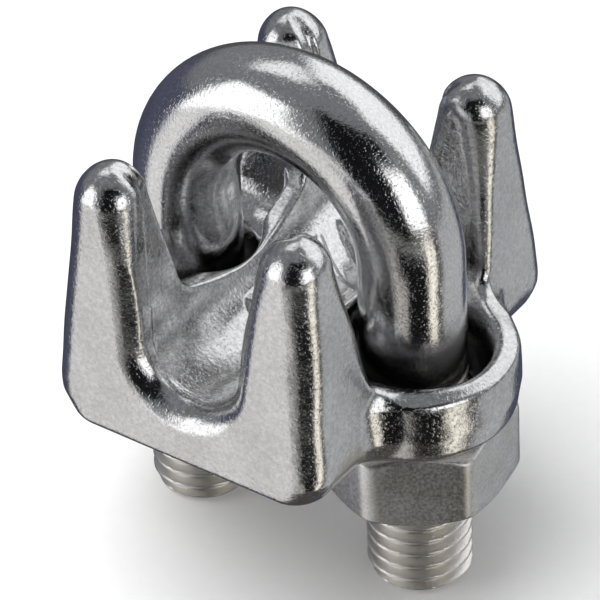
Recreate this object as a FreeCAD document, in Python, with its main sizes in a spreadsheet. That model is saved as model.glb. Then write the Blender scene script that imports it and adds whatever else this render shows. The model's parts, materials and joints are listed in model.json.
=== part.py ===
import FreeCAD, Part
import os

import Sketcher

# Wire rope clip: a U-bolt, a cast saddle that slides on its legs, and one nut on each leg.
# Millimetres and degrees. X runs from leg to leg, Y along the clamped rope, Z up the legs.
# The origin is midway between the legs, in the plane of their ends.

DIMENSIONS = (
    ("rod_radius", 5.0, "bar of the U-bolt, M10"),
    ("leg_pitch", 25.0, "distance between the axes of the two legs"),
    ("bow_centre", 36.0, "height of the centre of the round bow above the leg ends"),
    ("tip_chamfer", 0.8, "chamfer at each leg end"),
    ("seat_height", 19.5, "height of the nut seats under the saddle, above the leg ends"),
    ("nut_flats", 17.0, "width across the flats of a nut"),
    ("nut_height", 8.0, "height of a nut"),
    ("nut_turn", 35.0, "angle of a nut's corner from the X axis"),
    ("nut_face_radius", 8.2, "radius of the flat face inside a nut's corner chamfer"),
    ("nut_chamfer", 30.0, "angle of a nut's corner chamfer from its face"),
    ("nut_bore_radius", 5.05, "bore of a nut, over the thread crests"),
    ("nut_sink", 0.4, "depth of the countersink at each end of the bore"),
    ("boss_radius", 9.9, "round boss about each leg hole"),
    ("boss_height", 8.0, "height of the bosses and of the plate between them"),
    ("hole_radius", 6.0, "leg hole in the saddle"),
    ("cup_radius", 7.2, "mouth of the dished recess over each leg hole"),
    ("cup_depth", 3.0, "depth of that recess"),
    ("cup_shift", 0.9, "how far that recess lies further out than the leg"),
    ("end_reach", 19.5, "half length of the saddle along the rope"),
    ("end_half_width", 15.0, "half width of the saddle at its ends, beside the bosses"),
    ("corner_radius", 3.0, "rounding of the upright corners of the plate"),
    ("parting_height", 4.0, "height of the widest outline, where the casting's two drafts meet"),
    ("shoulder_draft", 5.0, "angle by which the plate leans in above that outline"),
    ("horn_foot_inner", 8.0, "distance from the X axis to the foot of a horn"),
    ("horn_foot_inset", 1.0, "distance from the Y axis to that foot, before the rope's groove is cut"),
    ("horn_across", 10.2, "distance from the Y axis to a horn's tip"),
    ("horn_along", 14.2, "distance from the X axis to a horn's tip"),
    ("horn_neck", 23.8, "height of the centre of a horn's round tip above the nut seats"),
    ("horn_tip_radius", 3.2, "radius of a horn's round tip"),
    ("horn_rounding", 2.6, "rounding of the upright edges of a horn"),
    ("rope_radius", 5.3, "groove that the rope lies in"),
    ("groove_floor", 6.3, "height of the groove's lowest line above the nut seats"),
    ("groove_draft", 7.0, "angle by which the groove's walls lean out"),
    ("wall_reach", 8.0, "half length of the raised wall between the groove and the holes"),
    ("wall_height", 10.6, "height of that wall above the nut seats"),
    ("wall_half_width", 7.6, "distance from the Y axis to the outer side of that wall"),
    ("mouth_rounding", 3.5, "flare of the groove at each end of the saddle"),
    ("lay_count", 5, "grooves left by the rope's strands across the seat"),
    ("lay_spacing", 4.9, "distance between them along the rope"),
    ("lay_turn", -35.0, "angle between them and a plane across the rope"),
    ("lay_radius", 1.5, "radius of each strand groove's section"),
    ("lay_lift", 0.8, "how far the centre of that section stands inside the rope radius"),
)

doc = FreeCAD.newDocument("wire_rope_clip")
sheet = doc.addObject("Spreadsheet::Sheet", "dims")
for row, (alias, value, meaning) in enumerate(DIMENSIONS, start=1):
    sheet.set(f"A{row}", meaning)
    sheet.set(f"B{row}", str(value))
    sheet.setAlias(f"B{row}", alias)
doc.recompute()

ALONG_X = FreeCAD.Vector(1, 0, 0)
ALONG_Y = FreeCAD.Vector(0, 1, 0)
ALONG_Z = FreeCAD.Vector(0, 0, 1)


def made(kind, name, at=("0", "0", "0"), turned=(ALONG_Z, 0), **sizes):
    """A document object at a place and with sizes that follow expressions over the sheet."""
    piece = doc.addObject(kind, name)
    piece.Placement = FreeCAD.Placement(FreeCAD.Vector(), FreeCAD.Rotation(*turned))
    for axis, expression in zip("xyz", at):
        piece.setExpression(f"Placement.Base.{axis}", expression)
    for property_name, expression in sizes.items():
        piece.setExpression(property_name, expression)
    return piece


def joined(name, pieces):
    """The union of several objects."""
    union = doc.addObject("Part::MultiFuse", name)
    union.Shapes = pieces
    union.Refine = True
    return union


def common(name, pieces):
    """What several objects have in common."""
    overlap = doc.addObject("Part::MultiCommon", name)
    overlap.Shapes = pieces
    return overlap


def cut(name, base, tool):
    """One object less another."""
    rest = doc.addObject("Part::Cut", name)
    rest.Base = base
    rest.Tool = tool
    rest.Refine = True
    return rest


def mirrored(source, normal, name):
    """The image of an object in a plane through the origin."""
    image = doc.addObject("Part::Mirroring", name)
    image.Source = source
    image.Base = FreeCAD.Vector()
    image.Normal = normal
    return image


def both_sides(source, normal):
    """An object together with its image in a plane through the origin."""
    image = mirrored(source, normal, f"{source.Name}_image")
    return joined(f"{source.Name}_pair", [source, image])


def outline(name, height, corners):
    """A closed polygon at a height, whose corners are pairs of expressions for X and Y."""
    sketch = made("Sketcher::SketchObject", name, at=("0", "0", height))
    count = len(corners)
    spots = [FreeCAD.Vector(10 + index, 10 + index * index, 0) for index in range(count)]
    for index in range(count):
        sketch.addGeometry(Part.LineSegment(spots[index], spots[(index + 1) % count]), False)
    for index in range(count):
        sketch.addConstraint(Sketcher.Constraint("Coincident", index, 2, (index + 1) % count, 1))
    for index, corner in enumerate(corners):
        for kind, expression in zip(("DistanceX", "DistanceY"), corner):
            added = sketch.addConstraint(Sketcher.Constraint(kind, -1, 1, index, 1, 1.0))
            sketch.setExpression(f"Constraints[{added}]", expression)
    return sketch


def upright_edges(shape, keep):
    """Numbers of the straight edges of a shape that climb, at the places that keep accepts."""
    found = []
    for number, edge in enumerate(shape.Edges, start=1):
        heights = [vertex.Z for vertex in edge.Vertexes]
        if max(heights) - min(heights) > 1.0 and keep(edge.CenterOfMass):
            found.append(number)
    return found


def rounded(name, base, radius_alias, keep):
    """An object with its upright edges rounded where keep accepts them."""
    doc.recompute()
    fillet = doc.addObject("Part::Fillet", name)
    fillet.Base = base
    radius = float(sheet.get(radius_alias))
    fillet.Edges = [(number, radius, radius) for number in upright_edges(base.Shape, keep)]
    return fillet


# ---- U-bolt: a half ring on two legs, threaded up to the saddle
def build_u_bolt():
    bow = made(
        "Part::Torus", "bow", at=("0", "0", "dims.bow_centre"), turned=(ALONG_X, 90),
        Radius1="dims.leg_pitch / 2", Radius2="dims.rod_radius", Angle3="180",
    )
    pieces = [bow]
    for side, sign in (("left", "-"), ("right", "")):
        leg_x = f"{sign}dims.leg_pitch / 2"
        pieces.append(made(
            "Part::Cylinder", f"leg_{side}", at=(leg_x, "0", "dims.tip_chamfer"),
            Radius="dims.rod_radius", Height="dims.bow_centre - dims.tip_chamfer",
        ))
        pieces.append(made(
            "Part::Cone", f"tip_{side}", at=(leg_x, "0", "0"), Height="dims.tip_chamfer",
            Radius1="dims.rod_radius - dims.tip_chamfer", Radius2="dims.rod_radius",
        ))
    return joined("u_bolt", pieces)


# ---- nut: a hexagon with its corners turned down at both faces, and a countersunk bore
def build_nut(side, sign):
    leg_x = f"{sign}dims.leg_pitch / 2"
    bottom = "dims.seat_height - dims.nut_height"
    half = "dims.nut_height / 2"
    widest = f"dims.nut_face_radius + {half} / tan(dims.nut_chamfer)"
    hexagon = made(
        "Part::Prism", f"hexagon_{side}", at=(leg_x, "0", bottom),
        Height="dims.nut_height", Circumradius="dims.nut_flats / 2 / cos(30)",
    )
    hexagon.Polygon = 6
    hexagon.Placement.Rotation = FreeCAD.Rotation(ALONG_Z, float(sheet.get("nut_turn")))
    lower = made(
        "Part::Cone", f"lower_turning_{side}", at=(leg_x, "0", bottom),
        Height=half, Radius1="dims.nut_face_radius", Radius2=widest,
    )
    upper = made(
        "Part::Cone", f"upper_turning_{side}", at=(leg_x, "0", f"{bottom} + {half}"),
        Height=half, Radius1=widest, Radius2="dims.nut_face_radius",
    )
    turned = common(f"turned_{side}", [hexagon, joined(f"turning_{side}", [lower, upper])])
    wide = "dims.nut_bore_radius + dims.nut_sink"
    bore = made(
        "Part::Cylinder", f"nut_bore_{side}", at=(leg_x, "0", bottom),
        Radius="dims.nut_bore_radius", Height="dims.nut_height",
    )
    low_sink = made(
        "Part::Cone", f"low_sink_{side}", at=(leg_x, "0", bottom),
        Height="dims.nut_sink", Radius1=wide, Radius2="dims.nut_bore_radius",
    )
    high_sink = made(
        "Part::Cone", f"high_sink_{side}", at=(leg_x, "0", "dims.seat_height - dims.nut_sink"),
        Height="dims.nut_sink", Radius1="dims.nut_bore_radius", Radius2=wide,
    )
    return cut(f"nut_{side}", turned, joined(f"nut_hole_{side}", [bore, low_sink, high_sink]))


# ---- saddle: built as one quarter, mirrored twice, then cut for the rope and the legs
SEAT = "dims.seat_height"


def plate_outline(name, height, inset="0"):
    """A quarter of the plate's outline, with its outer sides moved in by an inset."""
    side = f"dims.end_half_width - {inset}"
    end = f"dims.end_reach - {inset}"
    return outline(name, f"{SEAT} + {height}", (("0", "0"), (side, "0"), (side, end), ("0", end)))


def build_plate_quarter():
    """The casting from the nut seats up to its parting line."""
    plate = doc.addObject("Part::Extrusion", "plate")
    plate.Base = plate_outline("plate_outline", "0")
    plate.DirMode = "Custom"
    plate.Dir = ALONG_Z
    plate.Solid = True
    plate.setExpression("LengthFwd", "dims.parting_height")
    return rounded("rounded_plate", plate, "corner_radius", is_outer_corner)


def build_shoulder_quarter():
    """The casting from its parting line up to the rims of the bosses."""
    inset = "(dims.boss_height - dims.parting_height) * tan(dims.shoulder_draft)"
    shoulder = doc.addObject("Part::Loft", "shoulder")
    shoulder.Sections = [
        plate_outline("shoulder_foot", "dims.parting_height"),
        plate_outline("shoulder_rim", "dims.boss_height", inset),
    ]
    shoulder.Solid = True
    shoulder.Ruled = True
    return rounded("rounded_shoulder", shoulder, "corner_radius", is_outer_corner)


def is_outer_corner(middle):
    """Whether an upright edge's middle is at the free corner of a quarter, not on a mirror plane."""
    return middle.x > 1.0 and middle.y > float(sheet.get("end_reach")) - 1.0


def build_horn_quarter():
    foot = outline("horn_foot_outline", f"{SEAT} + dims.parting_height", (
        ("dims.horn_foot_inset", "dims.horn_foot_inner"),
        ("dims.end_half_width", "dims.horn_foot_inner"),
        ("dims.end_half_width", "dims.end_reach"),
        ("dims.horn_foot_inset", "dims.end_reach"),
    ))
    low_x = "dims.horn_across - dims.horn_tip_radius"
    high_x = "dims.horn_across + dims.horn_tip_radius"
    low_y = "dims.horn_along - dims.horn_tip_radius"
    high_y = "dims.horn_along + dims.horn_tip_radius"
    neck = outline("horn_neck_outline", f"{SEAT} + dims.horn_neck", (
        (low_x, low_y), (high_x, low_y), (high_x, high_y), (low_x, high_y),
    ))
    shaft = doc.addObject("Part::Loft", "horn_shaft")
    shaft.Sections = [foot, neck]
    shaft.Solid = True
    shaft.Ruled = True
    rounded_shaft = rounded("rounded_horn_shaft", shaft, "horn_rounding", lambda middle: True)
    tip = made(
        "Part::Sphere", "horn_tip", Radius="dims.horn_tip_radius",
        at=("dims.horn_across", "dims.horn_along", f"{SEAT} + dims.horn_neck"),
    )
    return joined("horn", [rounded_shaft, tip])


def build_rope_groove():
    """The rope's round seat, its leaning walls, and the flare at the two ends."""
    axis_z = f"{SEAT} + dims.groove_floor + dims.rope_radius"
    overrun = "dims.end_reach + 1"
    seat = made(
        "Part::Cylinder", "rope_seat", at=("0", overrun, axis_z), turned=(ALONG_X, 90),
        Radius="dims.rope_radius", Height=f"2 * ({overrun})",
    )
    wall_foot = "dims.rope_radius * cos(dims.groove_draft)"
    foot_z = f"{axis_z} - dims.rope_radius * sin(dims.groove_draft)"
    top_z = f"{SEAT} + dims.horn_neck + 2 * dims.horn_tip_radius"
    wall_head = f"{wall_foot} + ({top_z} - ({foot_z})) * tan(dims.groove_draft)"
    slot = made(
        "Part::Wedge", "rope_slot", at=("0", "0", foot_z), turned=(ALONG_X, 90),
        Xmin=f"-({wall_foot})", Xmax=wall_foot, X2min=f"-({wall_head})", X2max=wall_head,
        Ymin="0", Ymax=f"{top_z} - ({foot_z})",
        Zmin=f"-({overrun})", Zmax=overrun, Z2min=f"-({overrun})", Z2max=overrun,
    )
    mouths = []
    for side, sign, tilt in (("near", "-", 90), ("far", "", -90)):
        mouths.append(made(
            "Part::Cone", f"mouth_{side}", turned=(ALONG_X, tilt),
            at=("0", f"{sign}(dims.end_reach - dims.mouth_rounding)", axis_z),
            Radius1="dims.rope_radius", Height="dims.mouth_rounding + 1",
            Radius2="dims.rope_radius + (dims.mouth_rounding + 1) / 2",
        ))
    return joined("rope_groove", [seat, slot] + mouths)


def build_strand_grooves():
    """Slanting ring grooves that the rope's strands bed into."""
    axis_z = f"{SEAT} + dims.groove_floor + dims.rope_radius"
    turn = FreeCAD.Rotation(ALONG_Z, float(sheet.get("lay_turn")))
    upright = FreeCAD.Rotation(ALONG_X, 90)
    rings = []
    for index in range(int(sheet.get("lay_count"))):
        ring = made(
            "Part::Torus", f"strand_{index + 1}",
            at=("0", f"({index} - (dims.lay_count - 1) / 2) * dims.lay_spacing", axis_z),
            Radius1="dims.rope_radius - dims.lay_lift", Radius2="dims.lay_radius",
        )
        ring.Placement.Rotation = turn.multiply(upright)
        rings.append(ring)
    return joined("strand_grooves", rings)


def build_leg_holes():
    """A through hole and a dished recess for each leg."""
    tools = []
    for side, sign in (("left", "-"), ("right", "")):
        leg_x = f"{sign}dims.leg_pitch / 2"
        tools.append(made(
            "Part::Cylinder", f"leg_hole_{side}", at=(leg_x, "0", f"{SEAT} - 1"),
            Radius="dims.hole_radius", Height="dims.horn_neck",
        ))
        tools.append(made(
            "Part::Cone", f"cup_{side}", Height="dims.cup_depth",
            at=(f"{leg_x} {sign or '+'} dims.cup_shift", "0", f"{SEAT} + dims.boss_height - dims.cup_depth"),
            Radius1="dims.hole_radius - dims.cup_shift", Radius2="dims.cup_radius",
        ))
    return joined("leg_holes", tools)


def build_saddle():
    quarter = joined("saddle_quarter", [
        build_plate_quarter(), build_shoulder_quarter(), build_horn_quarter(),
    ])
    half = both_sides(quarter, ALONG_X)
    whole = both_sides(half, ALONG_Y)
    bosses = []
    for side, sign in (("left", "-"), ("right", "")):
        bosses.append(made(
            "Part::Cylinder", f"boss_{side}", at=(f"{sign}dims.leg_pitch / 2", "0", SEAT),
            Radius="dims.boss_radius", Height="dims.boss_height",
        ))
    wall = made(
        "Part::Box", "raised_wall", at=("-dims.wall_half_width", "-dims.wall_reach", SEAT),
        Length="2 * dims.wall_half_width", Width="2 * dims.wall_reach", Height="dims.wall_height",
    )
    blank = joined("saddle_blank", [whole, wall] + bosses)
    tools = [build_rope_groove(), build_strand_grooves(), build_leg_holes()]
    return cut("saddle", blank, joined("saddle_cuts", tools))


nodes = [build_u_bolt(), build_saddle(), build_nut("left", "-"), build_nut("right", "")]
doc.recompute()

for piece in doc.Objects:
    if "Invalid" in piece.State or "Error" in piece.State:
        raise RuntimeError(f"{piece.Name} failed: {piece.State}")
for node in nodes:
    node.Label = node.Name
    if node.Shape.isNull() or not node.Shape.isValid() or len(node.Shape.Solids) != 1:
        raise RuntimeError(f"{node.Name} is not one valid solid")

os.makedirs("parts", exist_ok=True)
for node in nodes:
    node.Shape.exportStep(f"parts/{node.Label}.step")
    box = node.Shape.BoundBox
    spans = [(box.XMin, box.XMax), (box.YMin, box.YMax), (box.ZMin, box.ZMax)]
    print(node.Label, [f"{low:.2f} {high:.2f}" for low, high in spans], f"{node.Shape.Volume:.0f} mm3")
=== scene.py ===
import json
import math

import bpy
import numpy as np
from mathutils import Matrix, Vector


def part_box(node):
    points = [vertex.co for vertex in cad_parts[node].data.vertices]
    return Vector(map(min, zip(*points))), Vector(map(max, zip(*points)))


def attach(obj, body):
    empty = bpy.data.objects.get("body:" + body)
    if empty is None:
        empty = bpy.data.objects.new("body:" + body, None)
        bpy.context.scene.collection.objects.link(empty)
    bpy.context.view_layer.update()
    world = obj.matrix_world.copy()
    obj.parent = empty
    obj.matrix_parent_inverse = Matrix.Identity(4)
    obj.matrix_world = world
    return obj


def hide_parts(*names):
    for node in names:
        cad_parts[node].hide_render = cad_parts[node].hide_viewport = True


# A wire rope clip of polished cast and drawn stainless steel. Dimensions are in millimetres in the CAD frame,
# except that the saddle's heights count from the nut seats under it. Meshes are made in metres.

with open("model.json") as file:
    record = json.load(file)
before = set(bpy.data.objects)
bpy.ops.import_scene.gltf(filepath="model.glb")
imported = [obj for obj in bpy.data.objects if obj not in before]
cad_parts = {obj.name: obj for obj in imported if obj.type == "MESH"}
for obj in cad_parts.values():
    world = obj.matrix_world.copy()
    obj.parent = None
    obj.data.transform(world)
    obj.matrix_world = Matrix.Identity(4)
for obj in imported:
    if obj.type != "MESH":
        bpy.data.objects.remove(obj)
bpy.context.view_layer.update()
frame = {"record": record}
MM = 0.001

# ---- what the frame fixes
saddle_low, saddle_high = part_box("saddle")
bolt_low, bolt_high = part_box("u_bolt")
nut_low, nut_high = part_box("nut_right")
SEAT_Z = saddle_low.z / MM
HORN_TOP = saddle_high.z / MM - SEAT_Z
END_REACH = saddle_high.y / MM
BOSS_REACH = saddle_high.x / MM
ROD_RADIUS = bolt_high.y / MM
LEG_X = bolt_high.x / MM - ROD_RADIUS
BOW_Z = bolt_high.z / MM - ROD_RADIUS - LEG_X
NUT_BOTTOM = nut_low.z / MM
NUT_TOP = nut_high.z / MM
ROPE_SEAT = next(m for m in frame["record"]["mounts"] if m["name"] == "rope_seat")
ROPE_RADIUS = ROPE_SEAT["dims"]["r_mm"]
ROPE_AXIS = ROPE_SEAT["pos_m"][2] / MM - SEAT_Z
THREAD_PITCH = 1.5


# ---- distance fields: each returns millimetres, negative inside the solid
def round_max(a, b, radius):
    """Where both fields are inside, with the edge between them rounded."""
    u = np.maximum(a + radius, 0)
    v = np.maximum(b + radius, 0)
    return np.sqrt(u * u + v * v) + np.minimum(np.maximum(a, b), -radius)


def round_min(a, b, radius):
    """Where either field is inside, with a fillet of that radius between them."""
    return -round_max(-a, -b, radius)


def smooth_step(value, low, high):
    """0 below low, 1 above high and an even curve between them."""
    t = np.clip((value - low) / (high - low), 0, 1)
    return t * t * (3 - 2 * t)


PARTING_Z = 3.2
BOSS_RADIUS = BOSS_REACH - LEG_X
BOSS_HEIGHT = 8.0
END_HALF_WIDTH = 15.0
TIP_RADIUS = 3.2
TIP_ROUNDING = TIP_RADIUS - 0.1
FLANK_TOP = 5.0
FLANK_CURVE = 0.075
HORN_X = 10.2
HORN_Y = 14.2
NECK_Z = HORN_TOP - TIP_RADIUS
GROOVE_DRAFT = math.radians(7.0)
POCKET_DEPTH = 0.6
HOLE_RADIUS = 6.0
CUP_RADIUS = 7.2
CUP_DEPTH = 3.0
CUP_SHIFT = 0.9
STRAND_SPACING = 4.9
STRAND_SLOPE = math.tan(math.radians(35.0))
RIB_MIDDLE_Y = 4.0
WALL_HALF_WIDTH = 7.6
WAVE_HEIGHT = 0.045


def groove_field(x, z, radius):
    """A trough along Y: a round floor, and walls that lean out."""
    rise = z - ROPE_AXIS
    wide = np.abs(x)
    along_wall = wide * math.sin(GROOVE_DRAFT) + rise * math.cos(GROOVE_DRAFT)
    wall = wide * math.cos(GROOVE_DRAFT) - rise * math.sin(GROOVE_DRAFT) - radius
    return np.where(along_wall > 0, wall, np.hypot(wide, rise) - radius)


def pocket_depth(x, y, z):
    """How much deeper the groove is behind its lip, except on the strand ribs in its middle and far end."""
    across = (y + x * STRAND_SLOPE) / STRAND_SPACING
    off_rib = np.abs(across - np.round(across)) * STRAND_SPACING * math.cos(math.atan(STRAND_SLOPE))
    on_floor = (1 - smooth_step(np.abs(x), 3.0, 4.4)) * (z < ROPE_AXIS)
    in_length = 1 - smooth_step(np.abs(y - RIB_MIDDLE_Y), 7.0, 8.5)
    return POCKET_DEPTH * (1 - on_floor * in_length * (1 - smooth_step(off_rib, 0.5, 1.2)))


def cast_waviness(x, y, z):
    """The slow unevenness of a polished casting."""
    waves = (
        (0.55, 0.31, 0.47, 0.4), (-0.38, 0.62, 0.21, 1.7), (0.27, -0.45, 0.71, 3.1),
        (0.93, 0.52, -0.36, 5.2), (-0.61, 0.88, 0.93, 2.3), (1.21, -0.84, 0.58, 0.9),
    )
    total = 0.0
    for kx, ky, kz, phase in waves:
        total = total + np.sin(kx * x + ky * y + kz * z + phase) / (1 + kx * kx + ky * ky + kz * kz)
    return WAVE_HEIGHT * total


def saddle_field(x, y, z):
    """The saddle: two end blocks with two horns each, and a round boss about each leg."""
    wide, long = np.abs(x), np.abs(y)
    above = np.maximum(z - PARTING_Z, 0)
    below = np.maximum(PARTING_Z - z, 0)
    climb = np.clip((z - PARTING_Z) / (NECK_Z - PARTING_Z), 0, 1)

    side_draft = (END_HALF_WIDTH - HORN_X - TIP_RADIUS) / (NECK_Z - PARTING_Z)
    end_draft = (END_REACH - HORN_Y - TIP_RADIUS) / (NECK_Z - PARTING_Z)
    tuck = FLANK_CURVE * np.maximum(FLANK_TOP - z, 0) ** 2
    side = wide - (END_HALF_WIDTH - above * side_draft - tuck)
    end = long - (END_REACH - above * end_draft - below * 0.10)
    block = round_max(side, end, 3.0)
    shrink = above * 0.05 + below * 0.14 + np.maximum(z - BOSS_HEIGHT + 1, 0) * 1.1
    boss = np.hypot(wide - LEG_X, y) - (BOSS_RADIUS - shrink)
    outline = round_min(block, boss, 2.6)

    valley = HORN_Y - TIP_RADIUS - 3.0 * (1 - climb) ** 1.35 - long
    ridge_radius = 1.0 + (TIP_ROUNDING - 1.0) * climb**2
    top = round_min(z - BOSS_HEIGHT, valley, 2.2)
    wall_top = 9.5 + 0.028 * y * y
    wall = np.maximum(wide - WALL_HALF_WIDTH, z - wall_top)
    top = round_min(top, wall, 1.0)
    by_horn = smooth_step(long, 7.5, 9.5)
    solid = round_max(outline, top, 1.9 + (ridge_radius - 1.9) * by_horn)

    groove = groove_field(x, z, ROPE_RADIUS)
    lip = 0.8 + 1.7 * smooth_step(long, 15.0, 18.0)
    groove_edge = np.maximum(lip, 0.8 + (TIP_ROUNDING - 0.8) * climb**2)
    solid = round_max(solid, -groove, groove_edge)
    pocket = groove_field(x, z, ROPE_RADIUS + pocket_depth(x, y, z))
    pocket = round_max(pocket, end + 2.9 + 0.9 * climb, 0.4)
    solid = round_max(solid, -pocket, 0.2)
    solid = round_max(solid, z - HORN_TOP, TIP_ROUNDING)
    solid = round_max(solid, -z, 1.3)

    hole = np.hypot(wide - LEG_X, y) - HOLE_RADIUS
    cup_wall = np.clip((z - BOSS_HEIGHT + CUP_DEPTH) / CUP_DEPTH, -1, 1)
    mouth = CUP_RADIUS - (CUP_RADIUS + CUP_SHIFT - HOLE_RADIUS) * (1 - cup_wall)
    cup = np.hypot(wide - LEG_X - CUP_SHIFT, y) - mouth
    solid = round_max(solid, -hole, 0.8)
    solid = round_max(solid, -cup, 1.0)

    # no waves at the flat underside
    return solid + cast_waviness(x, y, z) * smooth_step(z, 0.3, 1.5)


# ---- meshes
def surface_net(field, low, high, cell):
    """Vertices and quads of the surface where a field is zero, drawn onto it closely."""
    axes = [np.arange(a - cell, b + 2 * cell, cell, dtype=np.float32) for a, b in zip(low, high)]
    grid = np.meshgrid(*axes, indexing="ij")
    values = field(*grid)
    inside = values < 0
    shape = tuple(n - 1 for n in inside.shape)
    corner = [(i, j, k) for i in (0, 1) for j in (0, 1) for k in (0, 1)]
    count = sum(
        inside[i : i + shape[0], j : j + shape[1], k : k + shape[2]].astype(np.int8) for i, j, k in corner
    )
    cells = np.argwhere((count > 0) & (count < 8))
    index = np.full(shape, -1, np.int64)
    index[tuple(cells.T)] = np.arange(len(cells))

    total = np.zeros((len(cells), 3))
    hits = np.zeros(len(cells))
    for a in corner:
        for axis in range(3):
            if a[axis]:
                continue
            b = tuple(1 if n == axis else a[n] for n in range(3))
            va = values[tuple((cells + a).T)]
            vb = values[tuple((cells + b).T)]
            crossed = (va < 0) != (vb < 0)
            t = np.where(crossed, va / np.where(crossed, va - vb, 1), 0)
            point = np.array(a, float) + t[:, None] * (np.array(b, float) - a)
            total += point * crossed[:, None]
            hits += crossed
    start = np.array([axis[0] for axis in axes])
    verts = start + (cells + total / hits[:, None]) * cell

    quads = []
    for axis in range(3):
        u, v = (axis + 1) % 3, (axis + 2) % 3
        ahead = [slice(None)] * 3
        here = [slice(None)] * 3
        ahead[axis] = slice(1, None)
        here[axis] = slice(None, -1)
        edges = np.argwhere(inside[tuple(here)] != inside[tuple(ahead)])
        ring = []
        for du, dv in ((-1, -1), (0, -1), (0, 0), (-1, 0)):
            shifted = edges.copy()
            shifted[:, u] += du
            shifted[:, v] += dv
            ring.append(index[tuple(shifted.T)])
        quad = np.stack(ring, axis=1)
        outward = inside[tuple(edges.T)]
        quad[~outward] = quad[~outward][:, ::-1]
        quads.append(quad)
    quads = np.concatenate(quads)

    for _ in range(3):
        verts = drawn_to_surface(field, relaxed(verts, quads), cell)
    return verts, quads


def relaxed(verts, quads):
    """Each vertex moved part of the way to the middle of its neighbours."""
    total = np.zeros_like(verts)
    hits = np.zeros(len(verts))
    for shift in (1, 3):
        ends = np.roll(quads, shift, axis=1)
        for a, b in zip(quads.T, ends.T):
            np.add.at(total, a, verts[b])
            np.add.at(hits, a, 1)
    return verts + 0.5 * (total / hits[:, None] - verts)


def drawn_to_surface(field, verts, cell):
    """Vertices moved along the field's slope to where it is zero."""
    step = cell * 0.2
    for _ in range(2):
        value = field(*verts.T)
        slope = np.stack([
            (field(*(verts + step * unit).T) - field(*(verts - step * unit).T)) / (2 * step)
            for unit in np.eye(3)
        ], axis=1)
        steep = np.maximum((slope * slope).sum(axis=1), 0.25)
        move = -(value / steep)[:, None] * slope
        verts = verts + np.clip(move, -cell / 2, cell / 2)
    return verts


def new_piece(name, verts, faces, body, material):
    """A mesh object from vertices in millimetres, riding on a body."""
    mesh = bpy.data.meshes.new(name)
    mesh.from_pydata([tuple(v) for v in np.asarray(verts) * MM], [], [tuple(f) for f in faces])
    mesh.validate()
    mesh.polygons.foreach_set("use_smooth", [True] * len(mesh.polygons))
    piece = bpy.data.objects.new(name, mesh)
    bpy.context.scene.collection.objects.link(piece)
    mesh.materials.append(material)
    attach(piece, body)
    return piece


def grid_faces(rows, columns, closed_rows=False):
    """Quads between successive rings of vertices; each ring closes on itself."""
    last = rows if closed_rows else rows - 1
    row, column = np.meshgrid(np.arange(last), np.arange(columns), indexing="ij")
    here = row * columns + column
    beside = row * columns + (column + 1) % columns
    above = ((row + 1) % rows) * columns + column
    corner = ((row + 1) % rows) * columns + (column + 1) % columns
    return np.stack([here, beside, corner, above], axis=-1).reshape(-1, 4)


# ---- saddle
def build_saddle(material):
    """The casting, with a value at each vertex for how deep it lies in a recess; the material paints shade by
    that value.
    """
    low = (-BOSS_REACH, -END_REACH, 0.0)
    high = (BOSS_REACH, END_REACH, HORN_TOP)
    verts, quads = surface_net(saddle_field, low, high, 0.30)
    verts = np.clip(verts, low, high)
    # This depth sets painted shade: deep corners and recesses are darkened in the casting's colour.
    shade = hollow_depth(saddle_field, verts)
    piece = new_piece("saddle_casting", verts + (0, 0, SEAT_Z), quads, "saddle", material)
    add_vertex_value(piece, "hollow", shade)
    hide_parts("saddle")


def hollow_depth(field, verts):
    """0 on open surfaces, up to 1 deep inside corners, where there is little room above a point."""
    unit = np.eye(3) * 0.05
    slope = np.stack([field(*(verts + d).T) - field(*(verts - d).T) for d in unit], axis=1)
    normal = slope / np.linalg.norm(slope, axis=1, keepdims=True)
    depth = np.zeros(len(verts))
    for reach in (0.8, 1.6, 3.2):
        depth += np.clip(1 - field(*(verts + normal * reach).T) / reach, 0, 1) / 3
    return depth


def add_vertex_value(piece, name, values):
    attribute = piece.data.attributes.new(name, "FLOAT", "POINT")
    attribute.data.foreach_set("value", np.asarray(values, np.float32))


# ---- U-bolt
THREAD_DEPTH = 0.86
THREAD_TOP = SEAT_Z + 5.0
TIP_CHAMFER = 0.9
AROUND = 72
ROWS_PER_PITCH = 18


def thread_depth(turn, z):
    """How far the thread cuts into the bar, for an angle in turns and a height above the leg end."""
    phase = np.abs((z / THREAD_PITCH - turn) % 1.0 - 0.5) * 2
    cut = smooth_step(phase, 0.12, 0.86)
    return THREAD_DEPTH * cut * (1 - smooth_step(z, THREAD_TOP - 1.5, THREAD_TOP))


def u_bolt_rings():
    """Rings of the bar from the left leg's end over the bow to the right leg's end."""
    heights = np.arange(0, THREAD_TOP, THREAD_PITCH / ROWS_PER_PITCH)
    shank = np.linspace(THREAD_TOP, BOW_Z, 14)
    leg = np.concatenate([heights, shank])
    turn = np.linspace(0, 2 * math.pi, AROUND, endpoint=False)
    full = ROD_RADIUS - 0.02
    left, right = [], []
    for z in leg:
        chamfered = full - max(TIP_CHAMFER - z, 0)
        for side, rings in ((-1, left), (1, right)):
            angle = turn if side > 0 else math.pi - turn
            radius = np.minimum(full - thread_depth(angle / (2 * math.pi), z), chamfered)
            x = side * (LEG_X + radius * np.cos(turn))
            rings.append(np.stack([x, radius * np.sin(turn), np.full(AROUND, z)], axis=1))
    bow = []
    for angle in np.linspace(math.pi, 0, 98)[1:-1]:
        reach = LEG_X + full * np.cos(turn)
        x, z = reach * math.cos(angle), BOW_Z + reach * math.sin(angle)
        bow.append(np.stack([x, full * np.sin(turn), z], axis=1))
    return left + bow + right[::-1]


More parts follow.
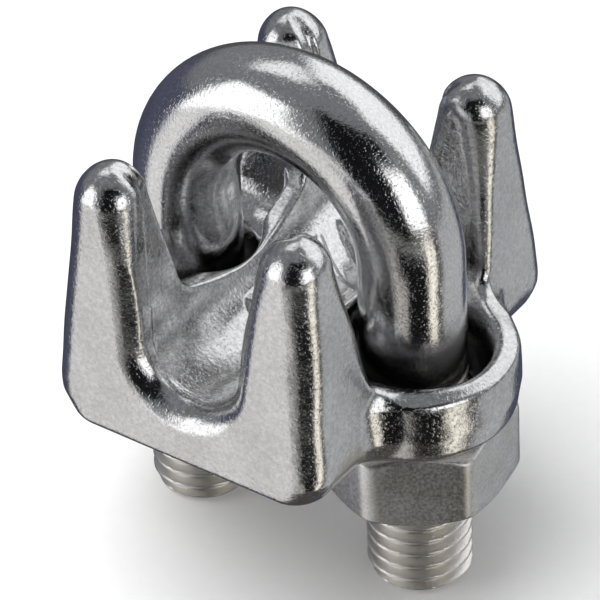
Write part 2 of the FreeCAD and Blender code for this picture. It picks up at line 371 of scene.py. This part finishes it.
def build_u_bolt(material):
    rings = u_bolt_rings()
    faces = [tuple(f) for f in grid_faces(len(rings), AROUND)]
    faces.append(tuple(range(AROUND))[::-1])
    faces.append(tuple((len(rings) - 1) * AROUND + n for n in range(AROUND)))
    piece = new_piece("u_bolt_bar", np.concatenate(rings), faces, "u_bolt", material)
    piece.data.set_sharp_from_angle(angle=math.radians(38))
    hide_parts("u_bolt")


# ---- nuts
NUT_FLATS = 17.0
NUT_TURN = math.radians(35.0)
NUT_FACE_RADIUS = 8.2
NUT_CHAMFER = math.tan(math.radians(30.0))
NUT_BORE = 5.05
NUT_COUNTERSINK = 0.6
NUT_COLUMNS = 144


def hexagon_radius(angle):
    """Reach of a hexagon with slightly rounded corners at an angle from the middle of a flat."""
    apothem = NUT_FLATS / 2
    off = abs((angle + math.pi / 6) % (math.pi / 3) - math.pi / 6)
    flat = apothem / math.cos(off)
    corner = apothem / math.cos(math.pi / 6)
    soft = corner - 0.28
    return -math.log(math.exp(-9 * flat) + math.exp(-9 * (soft + (corner - flat) * 0.1))) / 9


def rounded_profile(points, radii, steps=3):
    """A closed profile with each corner turned into a short arc."""
    shape = []
    for n, radius in enumerate(radii):
        here = Vector(points[n])
        before = Vector(points[n - 1]) - here
        after = Vector(points[(n + 1) % len(points)]) - here
        reach = min(radius, 0.45 * before.length, 0.45 * after.length)
        start, end = here + before.normalized() * reach, here + after.normalized() * reach
        for step in range(steps + 1):
            t = step / steps
            shape.append(start * (1 - t) ** 2 + here * 2 * t * (1 - t) + end * t * t)
    return shape


def build_nut(node, side, material):
    height = NUT_TOP - NUT_BOTTOM
    columns = []
    for angle in np.linspace(0, 2 * math.pi, NUT_COLUMNS, endpoint=False):
        reach = hexagon_radius(angle)
        drop = (reach - NUT_FACE_RADIUS) * NUT_CHAMFER
        bore, mouth = NUT_BORE, NUT_BORE + NUT_COUNTERSINK
        points = [
            (bore, NUT_COUNTERSINK), (mouth, 0), (NUT_FACE_RADIUS, 0), (reach, drop),
            (reach, height - drop), (NUT_FACE_RADIUS, height), (mouth, height),
            (bore, height - NUT_COUNTERSINK),
        ]
        profile = rounded_profile(points, (0.15, 0.15, 0.35, 0.3, 0.3, 0.35, 0.15, 0.15))
        around = angle + NUT_TURN + math.pi / 6
        columns.append([
            (side * LEG_X + p.x * math.cos(around), p.x * math.sin(around), NUT_BOTTOM + p.y) for p in profile
        ])
    count = len(columns[0])
    faces = grid_faces(NUT_COLUMNS, count, closed_rows=True)[:, ::-1]
    verts = np.array(columns).reshape(-1, 3)
    piece = new_piece(node + "_hexagon", verts, faces, node, material)
    piece.data.set_sharp_from_angle(angle=math.radians(50))
    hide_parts(node)


# ---- materials
class Nodes:
    """A material whose nodes are added and linked by short calls."""

    def __init__(self, name):
        self.material = bpy.data.materials.new(name)
        self.material.use_nodes = True
        self.tree = self.material.node_tree
        self.shader = self.tree.nodes["Principled BSDF"]
        self.place = self.add("ShaderNodeTexCoord").outputs["Object"]

    def add(self, kind, inputs=None, **settings):
        node = self.tree.nodes.new(kind)
        for key, value in settings.items():
            setattr(node, key, value)
        for key, value in (inputs or {}).items():
            self.give(node.inputs[key], value)
        return node

    def give(self, socket, value):
        if isinstance(value, bpy.types.NodeSocket):
            self.tree.links.new(value, socket)
        else:
            socket.default_value = value

    def stretched(self, x, y, z):
        """Object coordinates multiplied by a number for each axis; 1000 gives millimetres."""
        return self.add("ShaderNodeMapping", {"Vector": self.place, "Scale": (x, y, z)}).outputs["Vector"]

    def noise(self, scale, detail=2.0, roughness=0.5, vector=None):
        vector = vector or self.stretched(1000, 1000, 1000)
        inputs = {"Vector": vector, "Scale": scale, "Detail": detail, "Roughness": roughness}
        return self.add("ShaderNodeTexNoise", inputs).outputs["Fac"]

    def between(self, value, low, high, start=0.0, end=1.0):
        inputs = {"Value": value, "From Min": low, "From Max": high, "To Min": start, "To Max": end}
        return self.add("ShaderNodeMapRange", inputs, clamp=True).outputs["Result"]

    def math(self, operation, a, b=0.0):
        return self.add("ShaderNodeMath", {0: a, 1: b}, operation=operation).outputs[0]

    def blend(self, factor, a, b):
        return self.add("ShaderNodeMix", {0: factor, 6: a, 7: b}, data_type="RGBA").outputs[2]

    def value(self, name):
        return self.add("ShaderNodeAttribute", attribute_name=name).outputs["Fac"]

    def split(self):
        """The three object coordinates in millimetres; on the U-bolt Z is the height above the leg ends."""
        return self.add("ShaderNodeSeparateXYZ", {"Vector": self.stretched(1000, 1000, 1000)}).outputs

    def finish(self, colour, roughness, relief):
        """Sets colour and roughness and stacks bumps, each a height with its strength and depth."""
        normal = None
        for height, strength, depth in relief:
            inputs = {"Height": height, "Strength": strength, "Distance": depth}
            if normal:
                inputs["Normal"] = normal
            normal = self.add("ShaderNodeBump", inputs).outputs["Normal"]
        self.give(self.shader.inputs["Metallic"], 1.0)
        self.give(self.shader.inputs["Base Color"], colour)
        self.give(self.shader.inputs["Roughness"], roughness)
        self.give(self.shader.inputs["Normal"], normal)
        return self.material


def cast_steel():
    """Tumbled and polished casting: orange peel, mottle, fine raised grains, small pits, and painted shade
    darkening its corners.
    """
    n = Nodes("cast_steel")
    hollow = n.value("hollow")
    patches = n.noise(0.16, 3)
    mottle = n.noise(1.9, 4, 0.7)
    speckle = n.noise(2.8, 4, 0.65)
    grains = n.between(n.noise(3.6, 2, 0.5), 0.56, 0.70)
    peel = n.noise(1.0, 2)
    pits = n.between(n.noise(0.9, 1), 0.66, 0.76)
    tone = n.blend(n.between(patches, 0.35, 0.65), (0.68, 0.68, 0.68, 1), (0.78, 0.78, 0.785, 1))
    tone = n.blend(n.between(mottle, 0.40, 0.60, 0.25, 0.0), tone, (0.30, 0.29, 0.28, 1))
    tone = n.blend(n.between(speckle, 0.42, 0.62), n.blend(0.15, tone, (0.2, 0.19, 0.18, 1)), tone)
    # Painted shade: the colour falls to near black in deep corners and recesses.
    tone = n.blend(n.between(hollow, 0.3, 0.7, 0, 0.88), tone, (0.15, 0.14, 0.13, 1))
    rough = n.between(speckle, 0.35, 0.65, 0.08, 0.15)
    rough = n.math("ADD", rough, n.between(patches, 0.3, 0.7, 0.0, 0.05))
    rough = n.math("ADD", rough, n.between(hollow, 0.3, 0.8, 0.0, 0.2))
    relief = [(peel, 0.35, 0.00006), (speckle, 1.0, 0.000018), (grains, 1.0, 0.000012), (pits, -0.6, 0.00014)]
    return n.finish(tone, rough, relief)


SEAM_Y = -4.1
# Heights of the painted shade on the legs. A dark band is painted in as the reflection of the saddle's dark
# cup, full below the first height and gone above the second.
PAINTED_SHADE_FULL_BELOW, PAINTED_SHADE_CLEAR_ABOVE = SEAT_Z + 8.5, SEAT_Z + 13.0


def rod_steel():
    """Bright drawn bar with a fine seam, a painted dark reflection of the saddle's cup on the legs close
    above the saddle, and duller at its threads.
    """
    n = Nodes("rod_steel")
    x, y, z = n.split()
    threaded = n.between(z, THREAD_TOP + 0.2, THREAD_TOP - 0.6)
    patches = n.noise(0.14, 3)
    grain = n.noise(3.2, 4, 0.65)
    grains = n.between(n.noise(3.9, 2, 0.5), 0.57, 0.71)
    peel = n.noise(0.8, 2)
    lines = n.noise(1.0, 3, 0.6, n.stretched(2600, 2600, 160))
    dents = n.between(n.noise(0.55, 1), 0.68, 0.76)
    wander = n.between(patches, 0.0, 1.0, -0.5, 0.5)
    off_seam = n.math("ABSOLUTE", n.math("ADD", n.math("SUBTRACT", y, SEAM_Y), wander))
    seam = n.math("MULTIPLY", n.between(off_seam, 0.11, 0.04), n.between(x, -8.0, -9.5))
    seam = n.math("MULTIPLY", seam, n.between(n.math("SUBTRACT", z, x), 54.5, 55.5))
    tone = n.blend(n.between(patches, 0.35, 0.65), (0.71, 0.71, 0.71, 1), (0.79, 0.79, 0.795, 1))
    tone = n.blend(n.between(grain, 0.44, 0.6), n.blend(0.16, tone, (0.2, 0.19, 0.18, 1)), tone)
    # Painted shade: the legs darken close above the saddle, in place of the dark cup's reflection.
    tone = n.blend(n.between(z, PAINTED_SHADE_CLEAR_ABOVE, PAINTED_SHADE_FULL_BELOW, 0.0, 0.8), tone, (0.13, 0.125, 0.12, 1))
    tone = n.blend(threaded, tone, (0.74, 0.72, 0.685, 1))
    rough = n.between(grain, 0.35, 0.65, 0.07, 0.13)
    rough = n.math("ADD", rough, n.between(patches, 0.3, 0.7, 0.0, 0.04))
    rough = n.math("ADD", rough, n.math("MULTIPLY", threaded, 0.26))
    relief = [
        (peel, 0.22, 0.00006), (grain, 1.0, 0.000013), (grains, 1.0, 0.00001), (lines, 0.3, 0.00001),
        (dents, -0.5, 0.00012), (seam, -0.8, 0.00008),
    ]
    return n.finish(tone, rough, relief)


def nut_steel():
    """Cold-formed nut with a satin finish, faint drag lines down its flats and mottled greys."""
    n = Nodes("nut_steel")
    patches = n.noise(0.3, 4, 0.6)
    grain = n.noise(3.5, 3, 0.6)
    drag = n.noise(1.0, 3, 0.6, n.stretched(1500, 1500, 180))
    tone = n.blend(n.between(patches, 0.35, 0.65), (0.66, 0.655, 0.64, 1), (0.78, 0.78, 0.785, 1))
    tone = n.blend(n.between(grain, 0.38, 0.6), n.blend(0.3, tone, (0.2, 0.19, 0.18, 1)), tone)
    rough = n.between(grain, 0.35, 0.65, 0.34, 0.46)
    relief = [(grain, 0.45, 0.00002), (drag, 0.35, 0.00002), (patches, 0.2, 0.00008)]
    return n.finish(tone, rough, relief)


def floor_paint():
    """Matt pale studio board with a barely visible grain."""
    n = Nodes("floor_board")
    grain = n.noise(0.8, 3)
    tone = n.blend(grain, (0.86, 0.86, 0.855, 1), (0.90, 0.90, 0.90, 1))
    n.finish(tone, n.between(grain, 0.3, 0.7, 0.55, 0.7), [(grain, 0.05, 0.00002)])
    n.shader.inputs["Metallic"].default_value = 0.0
    return n.material


# ---- studio
PHOTO_AZIMUTH = math.radians(36.7)
PHOTO_ELEVATION = math.radians(38.0)
PHOTO_ROLL = math.radians(-2.8)
FIELD = 55.2 * MM
LENS = 300.0
SENSOR = 36.0


def direction(azimuth, elevation):
    """Unit vector from the object towards a place round it; azimuth 0 is in front, at -Y, and 90 is at +X."""
    flat = math.cos(elevation)
    return Vector((math.sin(azimuth) * flat, -math.cos(azimuth) * flat, math.sin(elevation)))


def add_camera():
    back = direction(PHOTO_AZIMUTH, PHOTO_ELEVATION)
    turn = (-back).to_track_quat("-Z", "Y").to_matrix() @ Matrix.Rotation(PHOTO_ROLL, 3, "Z")
    up = turn @ Vector((0, 1, 0))
    middle = Vector((0, 0, 30.0 * MM))
    target = middle - up * (3.0 * MM)
    camera = bpy.data.objects.new("camera", bpy.data.cameras.new("camera"))
    camera.data.lens = LENS
    camera.data.sensor_width = SENSOR
    camera.location = target + back * (FIELD * LENS / SENSOR)
    camera.rotation_mode = "QUATERNION"
    camera.rotation_quaternion = turn.to_quaternion()
    camera.data.clip_start = 0.005
    camera.data.clip_end = 20
    bpy.context.scene.collection.objects.link(camera)
    bpy.context.scene.camera = camera


class Surroundings:
    """The studio round the object as one sky of light and dark panels, placed by azimuth and elevation."""

    def __init__(self, ground):
        self.world = bpy.data.worlds.new("studio")
        self.world.use_nodes = True
        self.tree = self.world.node_tree
        coordinates = self.tree.nodes.new("ShaderNodeTexCoord").outputs["Generated"]
        split = self.tree.nodes.new("ShaderNodeSeparateXYZ")
        self.tree.links.new(coordinates, split.inputs[0])
        self.east, self.north, self.rise = split.outputs
        self.azimuth_of_place = self.math("ARCTAN2", self.east, self.math("MULTIPLY", self.north, -1.0))
        self.elevation_of_place = self.math("ARCSINE", self.rise)
        self.colour = ground

    def math(self, operation, a, b=0.0):
        node = self.tree.nodes.new("ShaderNodeMath")
        node.operation = operation
        for socket, value in zip(node.inputs, (a, b)):
            if isinstance(value, bpy.types.NodeSocket):
                self.tree.links.new(value, socket)
            else:
                socket.default_value = value
        return node.outputs[0]

    def within(self, value, half, soft):
        """1 where a value's size is under half, falling to 0 over the soft width beyond it."""
        node = self.tree.nodes.new("ShaderNodeMapRange")
        node.interpolation_type = "SMOOTHSTEP"
        self.tree.links.new(self.math("ABSOLUTE", value), node.inputs["Value"])
        node.inputs["From Min"].default_value = half + soft
        node.inputs["From Max"].default_value = half
        return node.outputs["Result"]

    def panel(self, azimuth, elevation, half_width, half_height, colour, soft=4.0):
        """Lays a panel over what is there so far; all its angles are in degrees."""
        turn = self.math("SUBTRACT", self.azimuth_of_place, math.radians(azimuth))
        turn = self.math("WRAP", turn, math.pi)
        turn.node.inputs[2].default_value = -math.pi
        lift = self.math("SUBTRACT", self.elevation_of_place, math.radians(elevation))
        mask = self.math(
            "MULTIPLY",
            self.within(turn, math.radians(half_width), math.radians(soft)),
            self.within(lift, math.radians(half_height), math.radians(soft)),
        )
        mix = self.tree.nodes.new("ShaderNodeMix")
        mix.data_type = "RGBA"
        self.tree.links.new(mask, mix.inputs[0])
        if isinstance(self.colour, bpy.types.NodeSocket):
            self.tree.links.new(self.colour, mix.inputs[6])
        else:
            mix.inputs[6].default_value = (*self.colour, 1)
        mix.inputs[7].default_value = (*colour, 1)
        self.colour = mix.outputs[2]

    def finish(self):
        background = self.tree.nodes["Background"]
        self.tree.links.new(self.colour, background.inputs["Color"])
        background.inputs["Strength"].default_value = 1.0
        bpy.context.scene.world = self.world


def add_surroundings():
    sky = Surroundings(ground=(0.23, 0.235, 0.25))
    sky.panel(0, -90, 180, 86, (0.085, 0.08, 0.075), soft=6)
    sky.panel(-32, -32, 34, 26, (0.86, 0.85, 0.845), soft=9)
    sky.panel(-92, -16, 28, 18, (0.09, 0.095, 0.14), soft=8)
    sky.panel(140, -32, 34, 24, (0.50, 0.51, 0.52), soft=8)
    sky.panel(30, -19, 42, 6, (0.34, 0.34, 0.33), soft=4)
    sky.panel(-118, 60, 26, 12, (1.12, 1.13, 1.15), soft=5)
    sky.panel(-41, 13, 18, 20, (1.7, 1.7, 1.71), soft=4)
    sky.panel(162, 36, 42, 24, (1.2, 1.21, 1.23), soft=5)
    sky.panel(25, 24, 25, 36, (0.008, 0.008, 0.009), soft=3)
    sky.panel(66, 49, 16, 9, (0.01, 0.01, 0.012), soft=4)
    sky.panel(72, 15, 15, 15, (1.75, 1.75, 1.74), soft=4)
    sky.panel(44, -37, 24, 17, (0.008, 0.008, 0.009), soft=4)
    sky.panel(80, -34, 7, 24, (1.3, 1.24, 1.08), soft=4)
    sky.panel(217, -42, 45, 20, (0.07, 0.075, 0.11), soft=10)
    sky.panel(6, -50, 16, 12, (0.55, 0.53, 0.50), soft=8)
    sky.finish()


def add_floor_light(name, azimuth, elevation, distance, size, power):
    """A soft light for the board alone: polished steel doesn't mirror it."""
    light = bpy.data.lights.new(name, "AREA")
    light.shape = "DISK"
    light.size = size
    light.energy = power
    lamp = bpy.data.objects.new(name, light)
    away = direction(math.radians(azimuth), math.radians(elevation))
    lamp.location = away * distance
    lamp.rotation_mode = "QUATERNION"
    lamp.rotation_quaternion = away.to_track_quat("Z", "Y")
    lamp.visible_glossy = False
    bpy.context.scene.collection.objects.link(lamp)


def add_floor():
    """A pale board that curves up into a round backdrop. It casts no shadow and isn't mirrored."""
    flat, bend, columns = 0.9, 0.5, 96
    profile = [(r, 0.0) for r in np.linspace(0.02, flat, 12)]
    for angle in np.linspace(0, math.pi / 2, 16)[1:]:
        profile.append((flat + bend * math.sin(angle), bend * (1 - math.cos(angle))))
    profile.append((flat + bend, 2.5))
    turn = np.linspace(0, 2 * math.pi, columns, endpoint=False)
    verts = [(r * math.cos(t), r * math.sin(t), z) for r, z in profile for t in turn]
    faces = [tuple(f) for f in grid_faces(len(profile), columns)[:, ::-1]]
    faces.append(tuple(range(columns)))
    mesh = bpy.data.meshes.new("floor")
    mesh.from_pydata(verts, [], faces)
    mesh.polygons.foreach_set("use_smooth", [True] * len(mesh.polygons))
    mesh.materials.append(floor_paint())
    floor = bpy.data.objects.new("floor", mesh)
    floor.location.z = bolt_low.z
    floor.visible_glossy = False
    floor.visible_shadow = False
    bpy.context.scene.collection.objects.link(floor)


build_saddle(cast_steel())
build_u_bolt(rod_steel())
nut_finish = nut_steel()
build_nut("nut_left", -1, nut_finish)
build_nut("nut_right", 1, nut_finish)

add_floor()
add_camera()
add_surroundings()
add_floor_light("fill", -60, 70, 0.6, 0.7, 4.2)
bpy.context.scene.view_settings.view_transform = "Standard"
